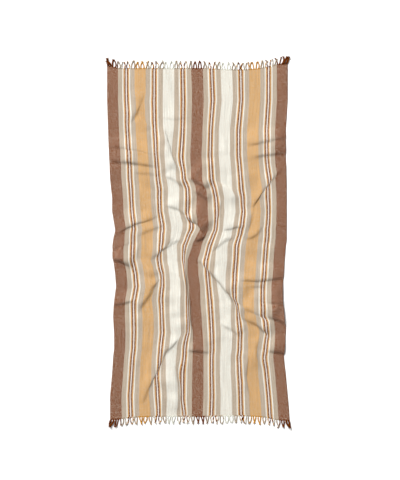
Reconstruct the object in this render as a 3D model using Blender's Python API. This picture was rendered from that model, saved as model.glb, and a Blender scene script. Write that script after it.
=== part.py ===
"""Hammam towel, laid out on a floor: a flat-woven cloth with soft folds, and a twisted fringe at each end.

Metres, +Z up. X runs across the towel, Y along it, and the floor is Z = 0 under the middle of the towel.
"""

import math

import bmesh
import bpy
import numpy as np
from mathutils import Vector
from mathutils.geometry import delaunay_2d_cdt

# Driving dimensions
CLOTH_WIDTH = 0.900
CLOTH_LENGTH = 1.725
CLOTH_THICKNESS = 0.002
FRINGE_REACH = 0.037
STRANDS_PER_END = 76
STRIP_WIDTH = 0.005
SEAM_GAP = 0.0004

# How far each long edge is drawn in by the folds, in mm, at distances down from the head end
EDGE_COLUMNS = ("down", "left_in", "right_in")
EDGE_ROWS = (
    (0, 0, 5),
    (160, 0, 5),
    (310, 5, 15),
    (430, 10, 15),
    (520, 10, 10),
    (710, 25, 10),
    (820, 40, 10),
    (880, 25, 15),
    (1000, 40, 25),
    (1080, 45, 30),
    (1160, 35, 30),
    (1240, 30, 20),
    (1310, 35, 15),
    (1425, 30, 25),
    (1520, 25, 15),
    (1660, 15, 0),
    (1725, 15, -5),
)

# How far the two ends reach past a straight cut, in mm, at distances across from the middle
END_COLUMNS = ("across", "head_out", "foot_out")
END_ROWS = (
    (-450, 14, 16),
    (-400, 2, 14),
    (-340, 0, 6),
    (-250, 0, 1),
    (0, 0, 0),
    (300, 0, 1),
    (350, 9, 6),
    (390, 18, 16),
    (450, 24, 20),
)

# The folds, in mm. Each line is bowed to the right, and it runs along the middle of the fold's steep side,
# which is on the right as one walks along it. Take-up is the cloth that the fold hides.
FOLD_COLUMNS = ("across_0", "down_0", "across_1", "down_1", "bow", "take_up", "height")
FOLDS = {
    "head left inner": (-315, 270, -265, 125, 0, 5, 7),
    "cream pleat left": (-110, 525, -180, 275, 15, 8, 9),
    "cream pleat right": (-90, 515, -155, 275, 10, 14, 12),
    "left level first": (-475, 390, -190, 445, -10, 3, 10),
    "left level second": (-475, 450, -180, 495, 0, 4, 13),
    "cream step": (-180, 535, -60, 600, -10, 5, 10),
    "brown shoulder": (-60, 540, 65, 605, 0, 8, 16),
    "right cream arc": (205, 675, 75, 560, 25, 6, 9),
    "right level first": (235, 385, 465, 345, 0, 3, 13),
    "right level second": (260, 450, 465, 425, -10, 4, 14),
    "right long upper": (265, 710, 435, 485, -15, 12, 9),
    "right long lower": (230, 840, 270, 690, 10, 6, 8),
    "middle upper": (-175, 680, -40, 740, -10, 5, 11),
    "middle point": (-80, 725, 45, 825, -5, 10, 15),
    "left slant first": (-440, 840, -175, 730, -10, 6, 10),
    "left slant second": (-310, 840, -160, 780, -5, 4, 8),
    "left slant third": (-450, 920, -320, 860, 0, 5, 9),
    "swirl upper": (25, 865, -20, 755, 20, 5, 8),
    "swirl lower": (-40, 850, 60, 810, 20, 5, 8),
    "right arc middle": (55, 935, 195, 840, -20, 6, 9),
    "right arc lower": (220, 845, 330, 760, 25, 4, 7),
    "left inner": (-240, 965, -85, 820, -5, 6, 10),
    "left edge crease": (-450, 950, -320, 1005, -20, 3, 15),
    "ochre deep": (-300, 1215, -180, 1030, 0, 14, 12),
    "pleat left": (-50, 910, 250, 1300, -30, 12, 17),
    "pleat right": (120, 1060, 405, 1265, 35, 12, 17),
    "right level third": (135, 1065, 475, 1035, 0, 5, 14),
    "right edge level": (315, 1165, 485, 1170, 0, 3, 15),
    "right edge deep": (315, 1215, 475, 1290, -5, 8, 17),
    "right ochre deep": (190, 1230, 370, 1350, -15, 8, 13),
    "left edge level": (-460, 1175, -290, 1145, 5, 3, 9),
    "brown overlap": (-20, 1400, -65, 870, -5, 26, 14),
    "lower left arc": (-235, 1570, -50, 1290, -20, 10, 10),
    "lower left slant": (-280, 1670, -190, 1475, 0, 8, 9),
    "brown level": (-60, 1400, 70, 1405, 0, 5, 12),
    "cream lower pleat": (-100, 1725, -125, 1410, 10, 12, 11),
    "ochre lower": (265, 1645, 295, 1350, -40, 5, 7),
    "ochre lower short": (325, 1500, 300, 1325, -20, 5, 7),
    "right edge low": (335, 1400, 465, 1415, 0, 4, 12),
}

# A fold's cross-section and ends
GENTLE_LEAST = 0.008
GENTLE_PER_HEIGHT = 3.6
STEEP_LEAST = 0.008
STEEP_PER_HEIGHT = 1.3
STEEP_PER_TAKE_UP = 0.9
TAKE_UP_REACH = 0.050
TAKE_UP_WIDTH_SHARE = 0.85
TAKE_UP_LEAST_WIDTH = 0.007
FOLD_END_FADE = 0.25
FLAT_END_LENGTH = 0.045
EDGE_HEIGHT_SHARE = 0.45
EDGE_FADE_LENGTH = 0.060
CROSSING_POWER = 3

# Mesh spacing
EDGE_SPACING = 0.030
FLAT_SPACING = 0.048
FOLD_SPACING = 0.026
CLOSEST_FOLD_POINTS = 0.0065
CLOSEST_FLAT_POINTS = 0.019
CUT_MERGE = 1e-5

# Fringe strands
STRAND_HEIGHT = 0.0040
STRAND_TIP_SHARE = 0.50
STRAND_STEPS = (0.12, 0.5, 1.0)
STRAND_STEP_WIDTHS = (0.95, 1.0, 0.55)
STRAND_TOP_WIDTH = 0.7
STRAND_ROOT_SHARES = (0.25, 0.75)
PAIR_LEAN = 0.0022
LEAN_BEND = 1.4
WANDER = 0.0030
WANDER_TURN = 0.37
WANDER_SWELL = 0.113
WANDER_SWELL_START = 0.8
CORNER_SPREAD = 0.008
CORNER_STRANDS = 3
UNEVEN_TURNS = ((0.06, 1.7), (0.05, 0.29))

BROWN = (0.300, 0.155, 0.095, 1.0)
CREAM = (0.880, 0.850, 0.780, 1.0)
CLOTH_ROUGHNESS = 0.9

MM = 0.001
HALF_WIDTH = CLOTH_WIDTH / 2
HEAD_Y = CLOTH_LENGTH / 2
STRAND_PITCH = CLOTH_WIDTH / STRANDS_PER_END


def clear_scene():
    for old in list(bpy.data.objects):
        bpy.data.objects.remove(old, do_unlink=True)


def plain_material(name, colour):
    material = bpy.data.materials.new(name)
    material.use_nodes = True
    shader = material.node_tree.nodes["Principled BSDF"]
    shader.inputs["Base Color"].default_value = colour
    shader.inputs["Roughness"].default_value = CLOTH_ROUGHNESS
    shader.inputs["Metallic"].default_value = 0.0
    return material


def column(rows, names, name):
    return np.array([row[names.index(name)] for row in rows], float) * MM


def smooth_curve(places, values, at):
    """A soft curve through a table's values, level past its first and last row."""
    slopes = np.gradient(values, places)
    slopes[0] = 0.0
    slopes[-1] = 0.0
    at = np.clip(at, places[0], places[-1])
    cell = np.clip(np.searchsorted(places, at, side="right") - 1, 0, len(places) - 2)
    length = places[cell + 1] - places[cell]
    t = (at - places[cell]) / length
    return (
        (1 + 2 * t) * (1 - t) ** 2 * values[cell]
        + t * (1 - t) ** 2 * length * slopes[cell]
        + t**2 * (3 - 2 * t) * values[cell + 1]
        - t**2 * (1 - t) * length * slopes[cell + 1]
    )


def soft_step(t):
    t = np.clip(t, 0.0, 1.0)
    return t * t * (3 - 2 * t)


def long_edges(y):
    """X of the left and of the right edge at these places along the towel."""
    down = HEAD_Y - y
    places = column(EDGE_ROWS, EDGE_COLUMNS, "down")
    left = -HALF_WIDTH + smooth_curve(places, column(EDGE_ROWS, EDGE_COLUMNS, "left_in"), down)
    right = HALF_WIDTH - smooth_curve(places, column(EDGE_ROWS, EDGE_COLUMNS, "right_in"), down)
    return left, right


def end_points(end, shares):
    """Points along the cut at the head (+1) or the foot (-1), at shares 0 to 1 of its width.

    The cut runs straight between one pair of strands and the next, so that the fringe can follow it.
    """
    knots = np.linspace(0.0, 1.0, STRANDS_PER_END // 2 + 1)
    left, right = long_edges(np.array([end * HEAD_Y]))
    out = column(END_ROWS, END_COLUMNS, "head_out" if end > 0 else "foot_out")
    across = (2 * knots - 1) * HALF_WIDTH
    reach = smooth_curve(column(END_ROWS, END_COLUMNS, "across"), out, across)
    x = left + (right - left) * shares
    y = end * (HEAD_Y + np.interp(shares, knots, reach))
    return np.column_stack([x, y])


def end_reach(end, x):
    out = column(END_ROWS, END_COLUMNS, "head_out" if end > 0 else "foot_out")
    return HEAD_Y + smooth_curve(column(END_ROWS, END_COLUMNS, "across"), out, x)


def fold_line(fold):
    """Start, unit direction, unit right-hand normal and length of a fold's line, in plan."""
    values = dict(zip(FOLD_COLUMNS, fold))
    start = np.array([values["across_0"] * MM, HEAD_Y - values["down_0"] * MM])
    stop = np.array([values["across_1"] * MM, HEAD_Y - values["down_1"] * MM])
    length = float(np.hypot(*(stop - start)))
    direction = (stop - start) / length
    normal = np.array([direction[1], -direction[0]])
    return start, direction, normal, length


def fold_sizes(fold):
    """Bow, take-up, height and the widths of the gentle side and the steep side."""
    values = dict(zip(FOLD_COLUMNS, fold))
    height = values["height"] * MM
    take_up = values["take_up"] * MM
    gentle = GENTLE_LEAST + GENTLE_PER_HEIGHT * height
    steep = STEEP_LEAST + STEEP_PER_HEIGHT * height + STEEP_PER_TAKE_UP * take_up
    return values["bow"] * MM, take_up, height, gentle, steep


def height_share(plan):
    """How much of its height a fold keeps at these plan points: all of it but for the long edges."""
    left, right = long_edges(plan[:, 1])
    room = np.minimum(plan[:, 0] - left, right - plan[:, 0])
    return EDGE_HEIGHT_SHARE + (1 - EDGE_HEIGHT_SHARE) * soft_step(room / EDGE_FADE_LENGTH)


def lay_folds(plan):
    """Where the cloth at these plan points lies once the folds are in it: x, y and z."""
    lift = np.zeros(len(plan))
    shift = np.zeros((len(plan), 2))
    for fold in FOLDS.values():
        start, direction, normal, length = fold_line(fold)
        bow, take_up, height, gentle, steep = fold_sizes(fold)
        offset = plan - start
        along = offset @ direction / length
        arch = 4 * along * (1 - along)
        side = offset @ normal - bow * arch
        fade = soft_step(along / FOLD_END_FADE) * soft_step((1 - along) / FOLD_END_FADE)
        from_crest = side + steep / 2
        flank = np.where(from_crest < 0, gentle, steep)
        crest = np.where(np.abs(from_crest) < flank, (1 + np.cos(np.pi * from_crest / flank)) / 2, 0.0)
        lift += (height * fade * crest) ** CROSSING_POWER
        width = max(TAKE_UP_LEAST_WIDTH, TAKE_UP_WIDTH_SHARE * take_up)
        pull = np.tanh(side / width) * np.exp(-((side / TAKE_UP_REACH) ** 2))
        shift -= (take_up / 2 * fade * pull)[:, None] * normal
    head_room = end_reach(1, plan[:, 0]) - plan[:, 1]
    foot_room = end_reach(-1, plan[:, 0]) + plan[:, 1]
    level = soft_step(head_room / FLAT_END_LENGTH) * soft_step(foot_room / FLAT_END_LENGTH)
    z = lift ** (1 / CROSSING_POWER) * height_share(plan) * level
    return np.column_stack([plan + shift * level[:, None], z])


def outline():
    """The cloth's rim in plan, going round anticlockwise from the foot's left corner."""
    knots = np.linspace(0.0, 1.0, STRANDS_PER_END // 2 + 1)
    foot = end_points(-1, knots)
    head = end_points(1, knots)
    steps = int(CLOTH_LENGTH / EDGE_SPACING)
    right_y = np.linspace(foot[-1, 1], head[-1, 1], steps + 1)[1:-1]
    left_y = np.linspace(head[0, 1], foot[0, 1], steps + 1)[1:-1]
    right = np.column_stack([long_edges(right_y)[1], right_y])
    left = np.column_stack([long_edges(left_y)[0], left_y])
    return np.concatenate([foot, right, head[::-1], left])


def inside(points):
    left, right = long_edges(points[:, 1])
    room = CLOSEST_FOLD_POINTS
    return (
        (points[:, 0] > left + room)
        & (points[:, 0] < right - room)
        & (points[:, 1] < end_reach(1, points[:, 0]) - room)
        & (points[:, 1] > -end_reach(-1, points[:, 0]) + room)
    )


def fold_rows(fold):
    """Rows of points along a fold: its crest first, then the middle and the foot of each side."""
    start, direction, normal, length = fold_line(fold)
    bow, _, _, gentle, steep = fold_sizes(fold)
    steps = max(3, round(length / FOLD_SPACING))
    along = np.linspace(0.0, 1.0, steps + 1)
    arch = bow * 4 * along * (1 - along)
    for from_crest in (0.0, steep, steep / 2, -gentle / 2, -gentle):
        side = arch + from_crest - steep / 2
        yield start + np.outer(along * length, direction) + np.outer(side, normal)


def flat_grid():
    """Points of the plain cloth between the folds, each row half a step from the last."""
    rows = round(CLOTH_LENGTH / FLAT_SPACING)
    for row in range(1, rows):
        y = HEAD_Y - row * CLOTH_LENGTH / rows
        x = np.arange(-HALF_WIDTH, HALF_WIDTH, FLAT_SPACING) + (row % 2) * FLAT_SPACING / 2
        yield np.column_stack([x, np.full(len(x), y)])


def cloth_layout():
    """Plan points of the cloth, its rim first, and the crest lines that the triangles keep."""
    points = outline()
    rim = len(points)
    crests = []
    rows = [list(fold_rows(fold)) for fold in FOLDS.values()]
    for flank in range(len(rows[0])):
        for lines in rows:
            last = None
            for point in lines[flank][inside(lines[flank])]:
                if np.min(np.hypot(*(points - point).T)) < CLOSEST_FOLD_POINTS:
                    last = None
                    continue
                points = np.vstack([points, point])
                if flank == 0 and last is not None:
                    crests.append((last, len(points) - 1))
                last = len(points) - 1
    for line in flat_grid():
        for point in line[inside(line)]:
            if np.min(np.hypot(*(points - point).T)) > CLOSEST_FLAT_POINTS:
                points = np.vstack([points, point])
    return points, rim, crests


def build_cloth():
    points, rim, crests = cloth_layout()
    plan, _, triangles, *_ = delaunay_2d_cdt(
        [Vector(point) for point in points], crests, [list(range(rim))], 1, CUT_MERGE
    )
    places = lay_folds(np.array(plan))
    mesh = bpy.data.meshes.new("towel_cloth")
    mesh.from_pydata(places.tolist(), [], triangles)
    mesh.shade_smooth()
    cloth = bpy.data.objects.new("towel_cloth", mesh)
    bpy.context.scene.collection.objects.link(cloth)
    sheet = cloth.modifiers.new("Sheet thickness", "SOLIDIFY")
    sheet.thickness = CLOTH_THICKNESS
    sheet.offset = 1.0
    cloth.data.materials.append(plain_material("woven cloth", BROWN))
    return cloth


def strand_lean(number):
    """How far a strand's tip leans to the right: each pair closes up, and whole runs wander."""
    towards_pair = PAIR_LEAN if number % 2 == 0 else -PAIR_LEAN
    swell = math.sin(WANDER_SWELL * number + WANDER_SWELL_START)
    wander = WANDER * math.sin(WANDER_TURN * number) * swell
    left_corner = max(0.0, 1.0 - number / CORNER_STRANDS)
    right_corner = max(0.0, 1.0 - (STRANDS_PER_END - 1 - number) / CORNER_STRANDS)
    return towards_pair + wander + CORNER_SPREAD * (right_corner - left_corner)


def strand_reach(number):
    return FRINGE_REACH * (1 + sum(depth * math.sin(turn * number) for depth, turn in UNEVEN_TURNS))


def build_fringe(name, end):
    """One end's fringe: a narrow strip along the cut, with a four-sided tapering strand every pitch."""
    stations = [0.0]
    for number in range(STRANDS_PER_END):
        stations += [number + share for share in STRAND_ROOT_SHARES]
    stations.append(float(STRANDS_PER_END))
    cut = end_points(end, np.array(stations) / STRANDS_PER_END)
    shape = bmesh.new()
    rings = []
    for x, y in cut:
        inner = y + end * SEAM_GAP
        outer = inner + end * STRIP_WIDTH
        corners = ((inner, 0.0), (outer, 0.0), (outer, CLOTH_THICKNESS), (inner, CLOTH_THICKNESS))
        rings.append([shape.verts.new((x, at, z)) for at, z in corners])
    outer_side = 1
    for place, (here, there) in enumerate(zip(rings, rings[1:])):
        for side in range(4):
            holds_strand = place % 2 == 1 and side == outer_side
            if not holds_strand:
                shape.faces.new((here[side], there[side], there[side - 3], here[side - 3]))
    shape.faces.new(rings[0])
    shape.faces.new(rings[-1])
    for number in range(STRANDS_PER_END):
        low_left, high_left = rings[2 * number + 1][1:3]
        low_right, high_right = rings[2 * number + 2][1:3]
        base = (low_left.co + low_right.co) / 2
        half = (low_right.co.x - low_left.co.x) / 2
        last = [low_left, low_right, high_right, high_left]
        for share, width in zip(STRAND_STEPS, STRAND_STEP_WIDTHS):
            x = base.x + strand_lean(number) * share**LEAN_BEND
            y = base.y + end * (strand_reach(number) - STRIP_WIDTH) * share
            top = STRAND_HEIGHT * (1.0 - (1.0 - STRAND_TIP_SHARE) * share**3)
            top_half = half * STRAND_TOP_WIDTH
            corners = ((-half, 0.0), (half, 0.0), (top_half, top), (-top_half, top))
            ring = [shape.verts.new((x + dx * width, y, z)) for dx, z in corners]
            for side in range(4):
                shape.faces.new((last[side], last[side - 3], ring[side - 3], ring[side]))
            last = ring
        shape.faces.new(last)
    bmesh.ops.recalc_face_normals(shape, faces=shape.faces)
    mesh = bpy.data.meshes.new(name)
    shape.to_mesh(mesh)
    shape.free()
    fringe = bpy.data.objects.new(name, mesh)
    bpy.context.scene.collection.objects.link(fringe)
    fringe.data.materials.append(plain_material(name + " yarn", CREAM))
    return fringe


def centre_over_origin(pieces):
    """Moves the pieces together until the middle of their footprint is over X = Y = 0."""
    bpy.context.view_layer.update()
    corners = np.array([piece.matrix_world @ Vector(corner) for piece in pieces for corner in piece.bound_box])
    middle = (corners.min(axis=0) + corners.max(axis=0)) / 2
    for piece in pieces:
        piece.location = (-middle[0], -middle[1], 0.0)


clear_scene()
centre_over_origin([build_cloth(), build_fringe("fringe_head", 1), build_fringe("fringe_foot", -1)])
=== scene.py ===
import math

import bpy
import numpy as np
from mathutils import Matrix, Vector, noise


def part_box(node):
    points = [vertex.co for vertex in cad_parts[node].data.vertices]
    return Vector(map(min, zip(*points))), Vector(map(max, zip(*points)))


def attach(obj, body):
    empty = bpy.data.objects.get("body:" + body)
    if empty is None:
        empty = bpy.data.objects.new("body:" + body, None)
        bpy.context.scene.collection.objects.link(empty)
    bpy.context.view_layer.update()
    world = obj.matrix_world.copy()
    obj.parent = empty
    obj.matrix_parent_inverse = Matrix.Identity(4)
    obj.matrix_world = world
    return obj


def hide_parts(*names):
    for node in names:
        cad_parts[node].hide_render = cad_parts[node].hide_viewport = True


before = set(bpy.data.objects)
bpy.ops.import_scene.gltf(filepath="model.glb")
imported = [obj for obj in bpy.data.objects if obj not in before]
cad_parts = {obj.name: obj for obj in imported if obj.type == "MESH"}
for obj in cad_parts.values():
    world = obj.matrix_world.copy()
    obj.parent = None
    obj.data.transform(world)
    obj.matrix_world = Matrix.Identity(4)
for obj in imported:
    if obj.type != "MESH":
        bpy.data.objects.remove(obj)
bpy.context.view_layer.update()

mm = 0.001
scene = bpy.context.scene
scene.view_settings.view_transform = "Standard"

photo = {
    "height": 480,
    "metresPerPixel": 0.00495,               # the towel is 0.90 m wide over 182 pixels
    "middleRight": 1.5,                      # picture's middle from the towel's, in pixels
    "middleUp": 2.0,
}

cloth = {
    "width": 0.900,                          # flat, selvedge to selvedge
    "length": 1.725,                         # as it lies, cut to cut
    "flatLength": 1.745,                     # smoothed out by hand
    "thickness": 0.0012,
    "columns": 168,
    "rows": 288,
    "bandWidth": 0.056,                      # the plain wide stripes
    "bandsAcross": 6.4,                      # width over the pitch of the wide stripes
    "litFlank": 6.5,                         # width of a fold's gentle side, per height
    "litLeast": 0.020,
    "leeFlank": 0.9,                         # and of its steep side
    "leeLeast": 0.009,
    "skirtHeight": 0.10,                     # the slack that each fold lifts around it
    "skirtReach": 0.045,
    "edgeShare": 0.65,                       # folds stand lower at the long edges
    "edgeReach": 0.040,
    "kinkReach": 0.005,                      # how softly the stripes turn at a fold
    "wanderSize": 0.085,                     # folds stray from their lines over this length
    "wanderReach": 0.00672,
    "wanderFine": 0.35,                      # and over a shorter one, by this share
    "unevenSize": 0.060,                     # a fold's height changes along it
    "unevenDepth": 0.5,
    "crumpleSize": 0.050,
    "crumpleHeight": 0.0018,
    "crumpleLeast": 0.15,                    # share that is left outside the crumpled part
    "patchSize": 0.22,                       # of the places where the creases are stronger
    "swellSize": 0.110,                      # broad soft waves of the slack cloth
    "swellHeight": 0.0042,
    "swellLeast": 0.10,
    "crumpleFrom": 0.16,                     # the head end lies smooth down to here
    "crumpleTo": 1.60,
    "crumpleFade": 0.25,
    "takeUpReach": 0.050,                    # how far a fold draws the cloth in
    "takeUpWidth": 0.57,                     # narrowest turn of a fold, per what it hides
    "takeUpLeast": 0.004,
    "endFade": 0.32,
    "levelEnd": 0.045,                       # both ends lie flat
    "endStretch": 0.060,                     # the cut's own shape reaches this far in
}
stripePitch = cloth["width"] / cloth["bandsAcross"]
halfWidth = cloth["width"] / 2
headY = cloth["length"] / 2

# seven warp lines, and how far each has drifted to the right, in mm, down from the head cut
warpLines = (-halfWidth, -2 * stripePitch, -stripePitch, 0.0, stripePitch, 2 * stripePitch, halfWidth)
driftColumns = ("down", "leftEdge", "leftOchre", "leftCream", "middle",
                "rightCream", "rightOchre", "rightEdge")
driftRows = (
    (0, 0, -5, -5, -5, 0, 0, -5),
    (160, 0, -5, -5, 0, 5, 0, -5),
    (310, 5, 0, -5, -5, -10, -10, -15),
    (430, 10, 10, -5, -10, -10, -10, -15),
    (550, 15, 15, 10, -5, 0, 0, -10),
    (600, 20, 20, 20, 15, 5, 5, -10),
    (640, 25, 20, 20, 20, 15, 5, -10),
    (710, 25, 25, 20, 20, 20, 5, -10),
    (770, 35, 30, 35, 30, 10, 0, -10),
    (800, 40, 35, 35, 30, 5, -5, -10),
    (825, 35, 30, 30, 15, 0, -5, -10),
    (850, 30, 30, 25, 5, -10, -10, -10),
    (880, 25, 30, 15, -5, -20, -15, -15),
    (950, 30, 25, 15, -25, -25, -20, -20),
    (1020, 40, 40, 20, -20, -30, -25, -25),
    (1080, 45, 45, 25, -10, -25, -30, -30),
    (1150, 35, 30, 25, -10, -10, -30, -30),
    (1230, 30, 35, 25, -5, -5, -25, -20),
    (1310, 35, 35, 30, 0, 0, -5, -15),
    (1390, 35, 30, 15, 0, 0, -10, -20),
    (1430, 30, 25, 10, 0, -5, -15, -25),
    (1510, 25, 20, 5, 0, -5, -10, -15),
    (1620, 15, 15, 10, 0, 0, 0, -5),
    (1725, 15, 20, 10, -5, 0, 5, 5),
)

# how far the cut at each end reaches past a straight one, in mm
endColumns = ("across", "headOut", "footOut")
endRows = (
    (-450, 14, 16),
    (-400, 2, 14),
    (-340, 0, 6),
    (-250, 0, 1),
    (0, 0, 0),
    (300, 0, 1),
    (350, 9, 6),
    (390, 18, 16),
    (450, 24, 20),
)

# folds, in mm: each runs along the middle of its steep side, which is to the right of its way
foldColumns = ("across0", "down0", "across1", "down1", "bow", "takeUp", "height")
folds = {
    "head left outer": (-335, 285, -275, 110, 0, 8, 6),
    "head left inner": (-315, 270, -260, 115, 0, 9, 6),
    "head left foot": (-230, 300, -290, 230, 0, 6, 5),
    "head cream faint": (-185, 250, -50, 250, 0, 1, 3),
    "cream pleat left": (-110, 525, -180, 275, 15, 8, 7),
    "cream pleat right": (-80, 530, -165, 280, -15, 16, 12),
    "left level first": (-475, 390, -190, 445, -10, 6, 10),
    "left level second": (-475, 450, -180, 495, 0, 7, 12),
    "left level third": (-330, 520, -190, 530, 0, 4, 5),
    "cream step": (-180, 535, -60, 600, -10, 9, 9),
    "brown shoulder": (-60, 540, 65, 605, 0, 12, 17),
    "brown shoulder low": (-30, 605, 65, 660, 0, 6, 9),
    "right cream arc": (205, 675, 75, 560, 25, 10, 8),
    "right level first": (235, 385, 465, 345, 0, 6, 14),
    "right level second": (260, 450, 465, 425, -10, 7, 14),
    "right long upper": (265, 710, 435, 485, -15, 16, 5),
    "right long lower": (230, 840, 270, 690, 10, 10, 6),
    "right long twin": (265, 700, 335, 600, -5, 6, 4),
    "middle upper": (-175, 680, -40, 740, -10, 9, 11),
    "middle point": (-80, 725, 45, 825, -5, 14, 16),
    "left slant first": (-440, 840, -175, 730, -10, 14, 9),
    "left slant second": (-310, 840, -160, 780, -5, 7, 6),
    "left slant third": (-450, 920, -320, 860, 0, 9, 7),
    "swirl upper": (25, 865, -20, 755, 20, 9, 10),
    "swirl lower": (-40, 850, 60, 810, 20, 9, 8),
    "right arc upper": (100, 820, 255, 795, -15, 6, 6),
    "right arc middle": (55, 935, 195, 840, -20, 10, 9),
    "right arc lower": (220, 845, 330, 760, 25, 7, 7),
    "left inner": (-240, 965, -85, 820, -5, 10, 10),
    "left inner twin": (-190, 915, -70, 840, 0, 6, 6),
    "left edge crease": (-450, 950, -320, 1005, -20, 6, 17),
    "ochre slant first": (-205, 1045, -295, 930, 5, 7, 6),
    "ochre slant second": (-190, 1025, -260, 930, 5, 6, 5),
    "ochre deep": (-300, 1215, -180, 1030, 0, 18, 12),
    "cream soft": (-70, 1065, -160, 940, -10, 6, 5),
    "pleat left": (-50, 910, 250, 1300, -30, 16, 17),
    "pleat right": (120, 1060, 405, 1265, 35, 14, 16),
    "right level third": (135, 1065, 475, 1035, 0, 9, 12),
    "right level fourth": (185, 1090, 345, 1085, 0, 4, 4),
    "right edge level": (315, 1165, 485, 1170, 0, 6, 18),
    "right edge deep": (315, 1215, 475, 1290, -5, 12, 18),
    "right ochre deep": (190, 1230, 370, 1350, -15, 12, 14),
    "left edge level": (-460, 1175, -290, 1145, 5, 6, 9),
    "cream lower soft": (100, 1260, 220, 1340, -5, 6, 8),
    "brown overlap": (-20, 1400, -65, 870, -5, 36, 15),
    "lower left arc": (-235, 1570, -50, 1290, -20, 14, 9),
    "lower left slant": (-280, 1670, -190, 1475, 0, 12, 8),
    "brown level": (-60, 1400, 70, 1405, 0, 9, 9),
    "cream lower pleat": (-100, 1725, -125, 1410, 10, 26, 13),
    "cream lower twin": (-85, 1725, -105, 1425, 15, 6, 6),
    "ochre lower": (265, 1645, 295, 1350, -40, 9, 7),
    "ochre lower short": (325, 1500, 300, 1325, -20, 9, 7),
    "right edge low": (335, 1400, 465, 1415, 0, 7, 14),
    "brown soft edge": (90, 780, 125, 635, 0, 6, 4),
}


def makeCamera():
    lens = 85
    sensor = 36
    seenHeight = photo["height"] * photo["metresPerPixel"]
    data = bpy.data.cameras.new("overheadCamera")
    data.sensor_fit = "VERTICAL"
    data.sensor_height = sensor
    data.lens = lens
    camera = bpy.data.objects.new("overheadCamera", data)
    scene.collection.objects.link(camera)
    camera.location = (photo["middleRight"] * photo["metresPerPixel"],
                       photo["middleUp"] * photo["metresPerPixel"],
                       seenHeight * lens / sensor)
    scene.camera = camera


makeCamera()
print("camera: straight above the towel")


def softStep(t):
    t = np.clip(t, 0.0, 1.0)
    return t * t * (3 - 2 * t)


def slopedBlend(t, length, value0, value1, slope0, slope1):
    # from one value to the next, leaving and arriving at the given slopes
    return ((1 + 2 * t) * (1 - t) ** 2 * value0 + t * (1 - t) ** 2 * length * slope0
            + t**2 * (3 - 2 * t) * value1 - t**2 * (1 - t) * length * slope1)


def smoothCurve(places, values, at):
    # soft through a table's values, and level past both ends
    slopes = np.gradient(values, places)
    slopes[0] = slopes[-1] = 0.0
    at = np.clip(at, places[0], places[-1])
    cell = np.clip(np.searchsorted(places, at, side="right") - 1, 0, len(places) - 2)
    length = places[cell + 1] - places[cell]
    t = (at - places[cell]) / length
    return slopedBlend(t, length, values[cell], values[cell + 1], slopes[cell], slopes[cell + 1])


def kinkedCurve(places, values, at):
    # straight from row to row of a table, with each corner rounded a little
    around = np.linspace(-cloth["kinkReach"], cloth["kinkReach"], 5)
    return sum(np.interp(at + shift, places, values) for shift in around) / len(around)


def drifted(across, down):
    # across the flat cloth, moved with the warp lines on either side
    rows = np.array(driftRows, float) * mm
    lines = np.array(warpLines)
    moves = np.stack([kinkedCurve(rows[:, 0], rows[:, driftColumns.index(line)], down)
                      for line in driftColumns[1:]])
    slopes = np.gradient(moves, lines, axis=0)
    cell = np.clip(np.searchsorted(lines, across, side="right") - 1, 0, len(lines) - 2)
    length = lines[cell + 1] - lines[cell]
    t = (across - lines[cell]) / length
    here = np.arange(len(across))
    return across + slopedBlend(t, length, moves[cell, here], moves[cell + 1, here],
                                slopes[cell, here], slopes[cell + 1, here])


def cutReach(x, column):
    rows = np.array(endRows, float) * mm
    return smoothCurve(rows[:, 0], rows[:, endColumns.index(column)], x)


def noiseAt(x, y, size, layer):
    return np.array([noise.noise((px / size, py / size, layer)) for px, py in zip(x, y)])


# each use of the noise reads a layer of its own
noiseLayers = {
    "wanderAcross": (0.0, 2.0),
    "wanderAlong": (20.0, 22.0),
    "uneven": 13.0,
    "bumps": (3.0, 5.0),
    "ridges": 7.0,
    "patches": 9.0,
    "waves": (31.0, 33.0),
}


def crumple(x, y):
    # small creases and broad waves where the cloth was pushed together, each noise slanted its own way
    size, swell = cloth["crumpleSize"], cloth["swellSize"]
    coarse, small = noiseLayers["bumps"]
    bumps = noiseAt(x, y * 0.8, size, coarse) + 0.5 * noiseAt(x, y, size * 0.5, small)
    ridges = 1 - np.abs(noiseAt(x + 0.4 * y, y, size * 1.1, noiseLayers["ridges"])) * 2.2
    patches = 0.55 + 0.45 * np.clip(noiseAt(x, y, cloth["patchSize"], noiseLayers["patches"]) * 2, -1, 1)
    coarse, small = noiseLayers["waves"]
    waves = noiseAt(x + 0.5 * y, y * 1.5, swell, coarse) + 0.4 * noiseAt(x, y * 1.4, swell / 2, small)
    down = headY - y
    room = (softStep((down - cloth["crumpleFrom"]) / cloth["crumpleFade"])
            * softStep((cloth["crumpleTo"] - down) / cloth["crumpleFade"]))
    fineShare = cloth["crumpleLeast"] + (1 - cloth["crumpleLeast"]) * room * patches
    broadShare = cloth["swellLeast"] + (1 - cloth["swellLeast"]) * room
    fine = cloth["crumpleHeight"] * fineShare * np.clip(0.45 * bumps + 0.5 * ridges, 0, 1.2)
    return fine + cloth["swellHeight"] * broadShare * np.clip(0.4 + waves, 0, 1.3)


def wander(x, y, layers):
    # how far a place strays, so that no fold runs quite true
    size, fine = cloth["wanderSize"], cloth["wanderFine"]
    stray = noiseAt(x, y, size, layers[0]) + fine * noiseAt(x, y, size * fine, layers[1])
    return cloth["wanderReach"] * stray


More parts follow.
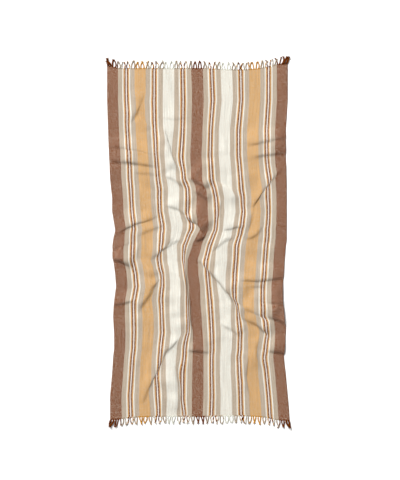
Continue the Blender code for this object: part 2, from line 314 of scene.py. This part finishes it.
def layFolds(straightX, straightY, across):
    # where the folds take each place of the unfolded plan, and how high they lift it
    x = straightX + wander(straightX, straightY, noiseLayers["wanderAcross"])
    y = straightY + wander(straightX, straightY, noiseLayers["wanderAlong"])
    uneven = noiseAt(straightX, straightY, cloth["unevenSize"], noiseLayers["uneven"])
    uneven = 1 + cloth["unevenDepth"] * uneven
    edgeRoom = softStep((halfWidth - np.abs(across)) / cloth["edgeReach"])
    lift = np.zeros_like(x)
    skirt = np.zeros_like(x)
    moveX = np.zeros_like(x)
    moveY = np.zeros_like(x)
    for row in folds.values():
        fold = dict(zip(foldColumns, row))
        x0, y0 = fold["across0"] * mm, headY - fold["down0"] * mm
        x1, y1 = fold["across1"] * mm, headY - fold["down1"] * mm
        length = math.hypot(x1 - x0, y1 - y0)
        alongX, alongY = (x1 - x0) / length, (y1 - y0) / length
        rightX, rightY = alongY, -alongX
        along = ((x - x0) * alongX + (y - y0) * alongY) / length
        side = (x - x0) * rightX + (y - y0) * rightY - fold["bow"] * mm * 4 * along * (1 - along)
        fade = softStep(along / cloth["endFade"]) * softStep((1 - along) / cloth["endFade"])
        takeUp = fold["takeUp"] * mm
        height = fold["height"] * mm * uneven
        width = max(cloth["takeUpLeast"], cloth["takeUpWidth"] * takeUp)
        pull = -0.5 * takeUp * fade * np.tanh(side / width) * np.exp(-(side / cloth["takeUpReach"]) ** 2)
        litSide = cloth["litLeast"] + height * cloth["litFlank"]
        leeSide = cloth["leeLeast"] + height * cloth["leeFlank"]
        fromCrest = side + pull + leeSide / 2
        flank = np.where(fromCrest < 0, litSide, leeSide)
        crest = np.where(np.abs(fromCrest) < flank, 0.5 + 0.5 * np.cos(math.pi * fromCrest / flank), 0.0)
        lift += (height * fade * crest) ** 3
        skirt += (height * cloth["skirtHeight"] * fade * np.exp(-(side / cloth["skirtReach"]) ** 2)) ** 2
        moveX += pull * rightX
        moveY += pull * rightY
    headRoom = headY - y
    footRoom = headY + y
    level = softStep(headRoom / cloth["levelEnd"]) * softStep(footRoom / cloth["levelEnd"])
    low = cloth["edgeShare"] + (1 - cloth["edgeShare"]) * edgeRoom
    z = (np.cbrt(lift) + np.sqrt(skirt) + crumple(straightX, straightY)) * level * low
    return straightX + moveX * level, straightY + moveY * level, z


def layCloth(across, down):
    # where a place on the flat cloth lies: across from its middle, down from its head cut
    x, y, z = layFolds(drifted(across, down), headY - down, across)
    near = cloth["endStretch"]
    y += cutReach(x, "headOut") * softStep(1 - down / near)
    y -= cutReach(x, "footOut") * softStep(1 - (cloth["length"] - down) / near)
    return x, y, z


def makeCloth():
    columns, rows = cloth["columns"], cloth["rows"]
    u, v = np.meshgrid(np.linspace(0, 1, columns + 1), np.linspace(0, 1, rows + 1))
    x, y, z = layCloth((u.ravel() - 0.5) * cloth["width"], v.ravel() * cloth["length"])
    index = np.arange((rows + 1) * (columns + 1)).reshape(rows + 1, columns + 1)
    quads = np.stack([index[:-1, :-1], index[1:, :-1], index[1:, 1:], index[:-1, 1:]], axis=-1)
    mesh = bpy.data.meshes.new("towelCloth")
    mesh.from_pydata(np.column_stack([x, y, z]).tolist(), [], quads.reshape(-1, 4).tolist())
    layer = mesh.uv_layers.new(name="weave")
    corner = np.empty(len(mesh.loops), np.int32)
    mesh.loops.foreach_get("vertex_index", corner)
    flat = np.column_stack([u.ravel(), 1 - v.ravel()]).astype(np.float32)
    layer.uv.foreach_set("vector", flat[corner].ravel())
    mesh.shade_smooth()
    piece = bpy.data.objects.new("towelCloth", mesh)
    scene.collection.objects.link(piece)
    # its middle lies over the middle of its solid
    low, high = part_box("towel_cloth")
    shift = Vector(((low[0] + high[0]) / 2 - (x.min() + x.max()) / 2,
                    (low[1] + high[1]) / 2 - (y.min() + y.max()) / 2, 0.0))
    mesh.transform(Matrix.Translation(shift))
    sheet = piece.modifiers.new("sheet", "SOLIDIFY")
    sheet.thickness = cloth["thickness"]
    sheet.offset = 1.0
    return piece, shift


towelCloth, towelShift = makeCloth()
print("cloth:", len(towelCloth.data.polygons), "faces, moved by", tuple(round(v, 4) for v in towelShift))


def addNode(tree, kind, inputs=(), **settings):
    node = tree.nodes.new(kind)
    for name, value in settings.items():
        setattr(node, name, value)
    for key, value in dict(inputs).items():
        if isinstance(value, bpy.types.NodeSocket):
            tree.links.new(value, node.inputs[key])
        else:
            node.inputs[key].default_value = value
    return node


def mathNode(tree, operation, first, second=0.5):
    return addNode(tree, "ShaderNodeMath", {0: first, 1: second}, operation=operation).outputs[0]


def mixNode(tree, factor, first, second):
    return addNode(tree, "ShaderNodeMix", {0: factor, 2: first, 3: second}).outputs[0]


def rampUp(tree, value, low, high):
    # 0 below low, 1 above high, softly between
    settings = {0: value, 1: low, 2: high}
    return addNode(tree, "ShaderNodeMapRange", settings, interpolation_type="SMOOTHSTEP").outputs[0]


def mixColour(tree, factor, first, second, blend="MIX"):
    return addNode(tree, "ShaderNodeMix", {0: factor, 6: first, 7: second}, data_type="RGBA",
                   blend_type=blend).outputs[2]


def stepRamp(tree, factor, stops):
    # flat steps of colour, each with its start
    node = addNode(tree, "ShaderNodeValToRGB", {0: factor})
    node.color_ramp.interpolation = "CONSTANT"
    elements = node.color_ramp.elements
    while len(elements) < len(stops):
        elements.new(0.5)
    for element, (start, colour) in zip(elements, stops):
        element.position = start
        element.color = colour
    return node.outputs["Color"]


def newGroup(name, kind, inputs, outputs):
    tree = bpy.data.node_groups.new(name, kind)
    for label, (socketType, value) in inputs.items():
        socket = tree.interface.new_socket(label, in_out="INPUT", socket_type=socketType)
        if value is not None:
            socket.default_value = value
    for label, socketType in outputs.items():
        tree.interface.new_socket(label, in_out="OUTPUT", socket_type=socketType)
    return tree, tree.nodes.new("NodeGroupInput").outputs, tree.nodes.new("NodeGroupOutput").inputs


yarn = {
    "brown": (0.157, 0.039, 0.006, 1),       # linear
    "ochre": (0.552, 0.311, 0.111, 1),
    "taupe": (0.412, 0.340, 0.262, 1),
    "cream": (0.725, 0.720, 0.650, 1),
    "white": (0.775, 0.745, 0.700, 1),
    "weft": (0.608, 0.494, 0.390, 1),
    "umber": (0.125, 0.022, 0.002, 1),       # the close-set warp of the narrow stripes
    "amber": (0.560, 0.270, 0.055, 1),
    "wideBands": ("brown", "cream", "ochre", "brown"),     # from the middle band outwards
    # from a wide band to midway between two, each with its width in any unit
    "narrowStripes": (("taupe", 21.5), ("cream", 6.5), ("amber", 4.8), ("umber", 6.3), ("white", 2.5)),
    "streakSize": (0.0040, 0.160),           # across and along
    "streakDepth": 0.20,
    "specular": 0.12,                        # cotton hardly shines
    "fringeBounceSaturation": 1.18,                # painted interreflection: the yarn colour is made stronger, as light bouncing between the twisted yarns would make it
    # painted shade: the yarns are darkened for their shading of each other in the twist
    "fringeShadeValue": 0.95,
}


def unevenNoise(tree, given, size, detail, depth):
    # 1 give or take the depth, with a grain of its own size across and along
    low, high = 0.25, 0.75                   # most of the noise lies between
    place = addNode(tree, "ShaderNodeCombineXYZ", {
        0: mathNode(tree, "DIVIDE", given["Across"], size[0]),
        1: mathNode(tree, "DIVIDE", given["Along"], size[1])})
    grain = addNode(tree, "ShaderNodeTexNoise",
                    {"Vector": place.outputs[0], "Scale": 1.0, "Detail": detail})
    spread = {0: grain.outputs["Fac"], 1: low, 2: high, 3: 1 - depth, 4: 1 + depth}
    return addNode(tree, "ShaderNodeMapRange", spread).outputs[0]


def warpColourGroup():
    # colour of the warp by how far across from the cloth's middle it runs, in metres
    floatSocket = "NodeSocketFloat"
    tree, given, result = newGroup("warpColour", "ShaderNodeTree",
                                   {"Across": (floatSocket, 0.0), "Along": (floatSocket, 0.0)},
                                   {"Colour": "NodeSocketColor"})
    bands = mathNode(tree, "DIVIDE", given["Across"], stripePitch)
    nearest = mathNode(tree, "ROUND", bands)
    offset = mathNode(tree, "ABSOLUTE", mathNode(tree, "SUBTRACT", bands, nearest))
    share = mathNode(tree, "MULTIPLY", offset, 2.0)      # 0 in a wide band's middle, 1 midway
    names = yarn["wideBands"]
    number = mathNode(tree, "DIVIDE", mathNode(tree, "ABSOLUTE", nearest), float(len(names)))
    wide = stepRamp(tree, number, [(max(0.0, (place - 0.5) / len(names)), yarn[name])
                                   for place, name in enumerate(names)])
    start = cloth["bandWidth"] / stripePitch
    total = sum(width for _, width in yarn["narrowStripes"])
    stops = []
    edge = start
    for name, width in yarn["narrowStripes"]:
        stops.append((edge, yarn[name]))
        edge += (1 - start) * width / total
    narrow = stepRamp(tree, share, stops)
    striped = mixColour(tree, mathNode(tree, "LESS_THAN", share, start), narrow, wide)
    strength = unevenNoise(tree, given, yarn["streakSize"], 2.0, yarn["streakDepth"])
    shade = addNode(tree, "ShaderNodeCombineColor", {0: strength, 1: strength, 2: strength}).outputs[0]
    tree.links.new(mixColour(tree, 1.0, striped, shade, "MULTIPLY"), result["Colour"])
    return tree


warpColour = warpColourGroup()

weave = {
    "thread": 0.0012,                        # from one to the next
    "weftShare": 0.20,                       # how much of the face the pale weft takes
    "weftUneven": 1.20,                      # and how much that strays
    "levelPerShare": 1.6,                    # a crossing shows weft below this times the share
    "levelDrop": 0.75,                       # less this
    "slubSize": (0.0095, 0.0065),
    "bump": 0.0003,
}


def weaveGroup():
    # where the weft passes over the warp, and how high the threads stand
    floatSocket = "NodeSocketFloat"
    tree, given, result = newGroup("plainWeave", "ShaderNodeTree", {
        "Across": (floatSocket, 0.0), "Along": (floatSocket, 0.0),
        "Thread": (floatSocket, weave["thread"]), "Weft Share": (floatSocket, weave["weftShare"])},
        {"Weft": floatSocket, "Height": floatSocket})
    waves = []
    for axis in ("Across", "Along"):
        turn = mathNode(tree, "MULTIPLY", mathNode(tree, "DIVIDE", given[axis], given["Thread"]), math.pi)
        waves.append(mathNode(tree, "COSINE", turn))
    over = mathNode(tree, "MULTIPLY", waves[0], waves[1])      # 1 on a warp crossing, -1 on a weft one
    height = mathNode(tree, "ABSOLUTE", over)
    stray = unevenNoise(tree, given, weave["slubSize"], 1.0, weave["weftUneven"])
    share = mathNode(tree, "MULTIPLY", given["Weft Share"], stray)
    level = mathNode(tree, "MULTIPLY", share, weave["levelPerShare"])
    level = mathNode(tree, "SUBTRACT", level, weave["levelDrop"])
    weft = mathNode(tree, "LESS_THAN", over, level)
    tree.links.new(weft, result["Weft"])
    tree.links.new(height, result["Height"])
    return tree


plainWeave = weaveGroup()


def startMaterial(name, roughness):
    material = bpy.data.materials.new(name)
    material.use_nodes = True
    tree = material.node_tree
    shader = tree.nodes["Principled BSDF"]
    shader.inputs["Roughness"].default_value = roughness
    shader.inputs["Specular IOR Level"].default_value = yarn["specular"]
    return material, tree, shader


def clothMaterial():
    material, tree, shader = startMaterial("striped flat weave", roughness=0.88)
    uv = addNode(tree, "ShaderNodeUVMap", uv_map="weave")
    split = addNode(tree, "ShaderNodeSeparateXYZ", {0: uv.outputs["UV"]})
    across = mathNode(tree, "MULTIPLY", mathNode(tree, "SUBTRACT", split.outputs["X"], 0.5), cloth["width"])
    along = mathNode(tree, "MULTIPLY", split.outputs["Y"], cloth["flatLength"])
    warp = addNode(tree, "ShaderNodeGroup", node_tree=warpColour)
    threads = addNode(tree, "ShaderNodeGroup", node_tree=plainWeave)
    for group in (warp, threads):
        tree.links.new(across, group.inputs["Across"])
        tree.links.new(along, group.inputs["Along"])
    colour = mixColour(tree, threads.outputs["Weft"], warp.outputs["Colour"], yarn["weft"])
    tree.links.new(colour, shader.inputs["Base Color"])
    bump = addNode(tree, "ShaderNodeBump", {"Height": threads.outputs["Height"], "Distance": weave["bump"]})
    tree.links.new(bump.outputs["Normal"], shader.inputs["Normal"])
    return material


def fringeMaterial():
    material, tree, shader = startMaterial("twisted fringe yarn", roughness=0.9)
    across = addNode(tree, "ShaderNodeAttribute", attribute_name="across")
    along = addNode(tree, "ShaderNodeAttribute", attribute_name="along")
    warp = addNode(tree, "ShaderNodeGroup", node_tree=warpColour)
    tree.links.new(across.outputs["Fac"], warp.inputs["Across"])
    tree.links.new(along.outputs["Fac"], warp.inputs["Along"])
    # painted interreflection and painted shade: stronger and darker colour for the twisted yarns
    bouncedAndShaded = addNode(tree, "ShaderNodeHueSaturation", {
        "Color": warp.outputs["Colour"], "Saturation": yarn["fringeBounceSaturation"],
        "Value": yarn["fringeShadeValue"]})
    tree.links.new(bouncedAndShaded.outputs["Color"], shader.inputs["Base Color"])
    return material


towelCloth.data.materials.append(clothMaterial())
fringeYarn = fringeMaterial()
print("materials: striped weave and fringe yarn")

fringe = {
    "Strands": 76,
    "Yarns": 6,                              # loose warp ends gathered in a strand
    "Length": 0.043,
    "Shortest": 0.80,                        # share of the length
    "Yarn Radius": 0.0012,
    "Strand Radius": 0.0018,
    "Turns": 1.6,
    "Gather": 0.16,                          # share of the length before the yarns meet
    "Pair Lean": 0.19,                       # neighbours lean together, radians
    "Loose Lean": 0.34,
    "Arch": 0.08,                            # and bow outwards, so that a pair makes an arch
    "Bow": 0.16,
    "Flare": 0.9,                            # how far the tip opens
    "Tucked": 0.004,                         # under the cloth's cut
    "Corner Swell": 1.3,
    "Corner Lean": 0.42,
}

strandShape = {
    "points": 11,                            # along each yarn
    "sides": 4,
    "cornerFrom": 0.90,                      # of the way from the cut's middle to its end
    "cornerTo": 0.97,
    "cornerYarn": 1.25,                      # yarn thickness there
    "gatherFrom": 0.04,                      # of the strand's length, as are the next two
    "flareFrom": 0.80,
    "thinFrom": 0.85,
    "thinning": 0.5,                         # of a yarn at its tip
}


def fringeTree():
    intNames = ("Strands", "Yarns")
    inputs = {"Cut": ("NodeSocketGeometry", None), "Out": ("NodeSocketFloat", 1.0),
              "Seed": ("NodeSocketInt", 1), "Yarn Material": ("NodeSocketMaterial", None)}
    for label, value in fringe.items():
        inputs[label] = ("NodeSocketInt" if label in intNames else "NodeSocketFloat", value)
    tree, given, result = newGroup("fringeStrands", "GeometryNodeTree", inputs,
                                   {"Fringe": "NodeSocketGeometry"})

    def compute(operation, first, second=0.5):
        return mathNode(tree, operation, first, second)

    def named(label):
        return addNode(tree, "GeometryNodeInputNamedAttribute", {"Name": label}).outputs[0]

    def stored(geometry, label, value):
        return addNode(tree, "GeometryNodeStoreNamedAttribute",
                       {"Geometry": geometry, "Name": label, "Value": value}).outputs[0]

    def onCut(factor):
        sample = addNode(tree, "GeometryNodeSampleCurve", {"Curves": given["Cut"], "Factor": factor})
        return sample.outputs["Position"]

    def vector(x, y, z):
        return addNode(tree, "ShaderNodeCombineXYZ", {0: x, 1: y, 2: z}).outputs[0]

    def scaled(direction, by):
        inputs = {0: direction, "Scale": by}
        return addNode(tree, "ShaderNodeVectorMath", inputs, operation="SCALE").outputs[0]

    def added(first, second):
        return addNode(tree, "ShaderNodeVectorMath", {0: first, 1: second}, operation="ADD").outputs[0]

    yarnCount = compute("MULTIPLY", given["Strands"], given["Yarns"])
    roots = addNode(tree, "GeometryNodeResampleCurve",
                    {"Curve": given["Cut"], "Count": yarnCount}).outputs[0]
    index = addNode(tree, "GeometryNodeInputIndex").outputs[0]
    roots = stored(roots, "yarn", index)
    line = addNode(tree, "GeometryNodeCurvePrimitiveLine", {"End": (0, 1, 0)}).outputs[0]
    line = addNode(tree, "GeometryNodeResampleCurve",
                   {"Curve": line, "Count": strandShape["points"]}).outputs[0]
    copies = addNode(tree, "GeometryNodeInstanceOnPoints", {"Points": roots, "Instance": line}).outputs[0]
    yarns = addNode(tree, "GeometryNodeRealizeInstances", {"Geometry": copies}).outputs[0]

    # the small part added to the number keeps its division clear of rounding
    number = named("yarn")
    strand = compute("FLOOR", compute("DIVIDE", compute("ADD", number, 0.01), given["Yarns"]))
    ply = compute("SUBTRACT", number, compute("MULTIPLY", strand, given["Yarns"]))
    ownPlace = compute("DIVIDE", compute("ADD", number, 0.5), yarnCount)
    strandPlace = compute("DIVIDE", compute("ADD", strand, 0.5), given["Strands"])
    t = addNode(tree, "GeometryNodeSplineParameter").outputs["Factor"]

    def chance(offset, low, high):
        seed = compute("ADD", given["Seed"], float(offset))
        return addNode(tree, "FunctionNodeRandomValue",
                       {2: low, 3: high, "ID": strand, "Seed": seed}).outputs[1]

    fromMiddle = compute("SUBTRACT", compute("MULTIPLY", strandPlace, 2.0), 1.0)
    corner = rampUp(tree, compute("ABSOLUTE", fromMiddle),
                    strandShape["cornerFrom"], strandShape["cornerTo"])
    parity = compute("SUBTRACT", compute("MULTIPLY", compute("MODULO", strand, 2.0), 2.0), 1.0)
    lean = compute("MULTIPLY", compute("MULTIPLY", parity, -1.0), given["Pair Lean"])
    lean = compute("ADD", lean, compute("MULTIPLY", chance(1, -0.5, 0.5), given["Loose Lean"]))
    outward = compute("MULTIPLY", compute("SIGN", fromMiddle),
                      compute("MULTIPLY", corner, given["Corner Lean"]))
    lean = compute("ADD", lean, outward)
    length = compute("MULTIPLY", given["Length"],
                     mixNode(tree, chance(2, 0.0, 1.0), given["Shortest"], 1.0))
    reach = compute("SUBTRACT", compute("MULTIPLY", t, length), given["Tucked"])
    sine, cosine = compute("SINE", lean), compute("COSINE", lean)
    outAxis = vector(sine, compute("MULTIPLY", cosine, given["Out"]), 0.0)
    sideAxis = vector(cosine, compute("MULTIPLY", compute("MULTIPLY", sine, given["Out"]), -1.0), 0.0)
    bow = compute("ADD", compute("MULTIPLY", chance(3, -0.5, 0.5), given["Bow"]),
                  compute("MULTIPLY", parity, given["Arch"]))
    bow = compute("MULTIPLY", bow, length)
    bow = compute("MULTIPLY", bow, compute("SINE", compute("MULTIPLY", t, math.pi)))
    swell = compute("ADD", 1.0, compute("MULTIPLY", corner, given["Corner Swell"]))
    radius = compute("MULTIPLY", given["Strand Radius"], swell)
    flared = compute("MULTIPLY", rampUp(tree, t, strandShape["flareFrom"], 1.0), given["Flare"])
    flared = compute("ADD", 1.0, flared)
    radius = compute("MULTIPLY", radius, flared)
    turn = compute("ADD", compute("DIVIDE", ply, given["Yarns"]), compute("MULTIPLY", t, given["Turns"]))
    turn = compute("MULTIPLY", compute("ADD", turn, chance(4, 0.0, 1.0)), 2 * math.pi)
    aside = compute("ADD", bow, compute("MULTIPLY", radius, compute("COSINE", turn)))
    thickness = compute("MULTIPLY", given["Yarn Radius"],
                        mixNode(tree, corner, 1.0, strandShape["cornerYarn"]))
    height = compute("ADD", compute("ADD", radius, thickness),
                     compute("MULTIPLY", radius, compute("SINE", turn)))
    twisted = added(onCut(strandPlace), added(scaled(outAxis, reach), scaled(sideAxis, aside)))
    twisted = added(twisted, vector(0.0, 0.0, height))
    straight = added(onCut(ownPlace), added(scaled(outAxis, reach), vector(0.0, 0.0, thickness)))
    gathered = rampUp(tree, t, strandShape["gatherFrom"], given["Gather"])
    position = addNode(tree, "ShaderNodeMix", {0: gathered, 4: straight, 5: twisted},
                       data_type="VECTOR").outputs[1]
    across = compute("MULTIPLY", compute("SUBTRACT", ownPlace, 0.5), cloth["width"])
    yarns = stored(yarns, "across", across)
    # far apart along the warp, so that each strand has streaks of its own
    yarns = stored(yarns, "along", compute("ADD", reach, chance(5, 0.0, 10.0)))
    yarns = addNode(tree, "GeometryNodeSetPosition", {"Geometry": yarns, "Position": position}).outputs[0]
    tip = compute("MULTIPLY", rampUp(tree, t, strandShape["thinFrom"], 1.0), strandShape["thinning"])
    tip = compute("SUBTRACT", 1.0, tip)
    yarns = addNode(tree, "GeometryNodeSetCurveRadius",
                    {"Curve": yarns, "Radius": compute("MULTIPLY", thickness, tip)}).outputs[0]
    ring = addNode(tree, "GeometryNodeCurvePrimitiveCircle",
                   {"Resolution": strandShape["sides"], "Radius": 1.0}).outputs[0]
    radiusField = addNode(tree, "GeometryNodeInputRadius").outputs[0]
    tubes = addNode(tree, "GeometryNodeCurveToMesh", {"Curve": yarns, "Profile Curve": ring,
                                                      "Scale": radiusField, "Fill Caps": True}).outputs[0]
    tubes = addNode(tree, "GeometryNodeSetMaterial",
                    {"Geometry": tubes, "Material": given["Yarn Material"]}).outputs[0]
    tree.links.new(tubes, result["Fringe"])
    return tree


fringeNodes = fringeTree()


def makeFringe(name, node, down, out, seed):
    # strands along the cloth's cut at one end, as a plain mesh
    across = np.linspace(-halfWidth, halfWidth, cloth["columns"] + 1)
    x, y, z = layCloth(across, np.full_like(across, down))
    cut = bpy.data.curves.new(name + "Cut", "CURVE")
    cut.dimensions = "3D"
    spline = cut.splines.new("POLY")
    spline.points.add(len(across) - 1)
    for point, place in zip(spline.points, zip(x + towelShift.x, y + towelShift.y, z)):
        point.co = (*place, 1)
    source = bpy.data.objects.new(name + "Cut", cut)
    scene.collection.objects.link(source)
    modifier = source.modifiers.new("fringe", "NODES")
    modifier.node_group = fringeNodes
    values = {"Out": out, "Seed": seed, "Yarn Material": fringeYarn}
    for item in fringeNodes.interface.items_tree:
        if item.in_out == "INPUT" and item.name in values:
            modifier[item.identifier] = values[item.name]
    evaluated = source.evaluated_get(bpy.context.evaluated_depsgraph_get())
    mesh = bpy.data.meshes.new_from_object(evaluated)
    mesh.name = name
    bpy.data.objects.remove(source)
    piece = bpy.data.objects.new(name, mesh)
    scene.collection.objects.link(piece)
    mesh.shade_smooth()
    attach(piece, "root")
    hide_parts(node)
    print(name + ":", len(mesh.polygons), "faces")
    return piece


fringeHead = makeFringe("fringeHead", "fringe_head", down=0.0, out=1.0, seed=11)
fringeFoot = makeFringe("fringeFoot", "fringe_foot", down=cloth["length"], out=-1.0, seed=47)
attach(towelCloth, "root")
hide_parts("towel_cloth")

studio = {
    "floorSize": 12.0,
    "floorColour": (0.985, 0.985, 0.985, 1),
    "floorRoughness": 0.9,
    "worldColour": (1.0, 0.985, 0.96, 1),
    "worldStrength": 0.41,
    "keyPower": 8070,
    "keySize": 6.0,
    "keyPlace": (-8.5, 15.7, 17.5),
}


def makeStudio():
    half = studio["floorSize"] / 2
    mesh = bpy.data.meshes.new("studioFloor")
    corners = [(-half, -half, 0), (half, -half, 0), (half, half, 0), (-half, half, 0)]
    mesh.from_pydata(corners, [], [(0, 1, 2, 3)])
    floor = bpy.data.objects.new("studioFloor", mesh)
    scene.collection.objects.link(floor)
    material = bpy.data.materials.new("pale floor")
    material.use_nodes = True
    shader = material.node_tree.nodes["Principled BSDF"]
    shader.inputs["Base Color"].default_value = studio["floorColour"]
    shader.inputs["Roughness"].default_value = studio["floorRoughness"]
    floor.data.materials.append(material)
    world = bpy.data.worlds.new("softWorld")
    world.use_nodes = True
    background = world.node_tree.nodes["Background"]
    background.inputs["Color"].default_value = studio["worldColour"]
    background.inputs["Strength"].default_value = studio["worldStrength"]
    scene.world = world
    data = bpy.data.lights.new("keyLight", "AREA")
    data.shape = "SQUARE"
    data.size = studio["keySize"]
    data.energy = studio["keyPower"]
    key = bpy.data.objects.new("keyLight", data)
    scene.collection.objects.link(key)
    key.location = studio["keyPlace"]
    key.rotation_euler = (-key.location).to_track_quat("-Z", "Y").to_euler()


makeStudio()
